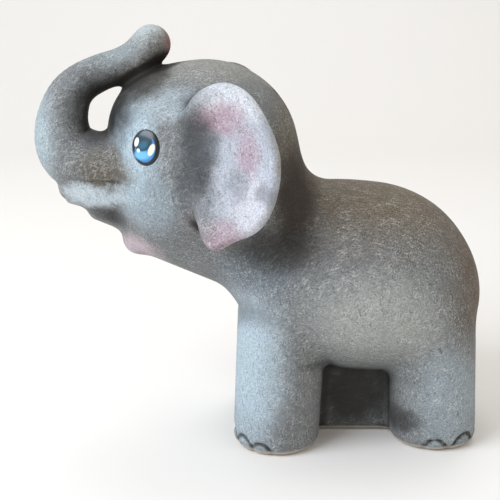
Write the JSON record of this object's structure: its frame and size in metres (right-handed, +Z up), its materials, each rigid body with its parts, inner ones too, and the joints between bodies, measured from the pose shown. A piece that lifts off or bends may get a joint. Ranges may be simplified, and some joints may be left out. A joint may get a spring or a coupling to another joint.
{
  "type": "figural animal coin bank",
  "caption": "Hand-painted ceramic elephant money box with its trunk curled back to its forehead, large dished ears, and a soft stopper with a pull tab underneath.",
  "frame": {"origin": "middle of the flat base, in the plane that the bank stands on", "axes": "+Z up, the head toward -X, the animal's left side toward -Y, the body's centre plane is Y = 0"},
  "size_m": [0.2094, 0.1044, 0.1962],
  "materials": {
    "painted_ceramic": "matte",
    "eye_enamel": "gloss",
    "soft_pvc": "satin"
  },
  "bodies": {
    "bank": {"body_casting": "painted_ceramic", "trunk": "painted_ceramic", "ear_left": "painted_ceramic", "ear_right": "painted_ceramic", "eye_left": "eye_enamel", "eye_right": "eye_enamel"},
    "stopper": {"stopper_plug": "soft_pvc"},
    "pull_tab": {"stopper_pull_tab": "soft_pvc"}
  },
  "joints": [
    {"name": "stopper_pull", "type": "slide", "parent": "bank", "child": "stopper", "axis": [0, 0, -1], "range_m": [0, 0.03]},
    {"name": "pull_tab_swing", "type": "hinge", "parent": "stopper", "child": "pull_tab", "pos_m": [0.0241, 0, 0.0018], "axis": [0, 1, 0], "range_deg": [0, 90], "stiffness_Nm_per_rad": 0.002}
  ]
}
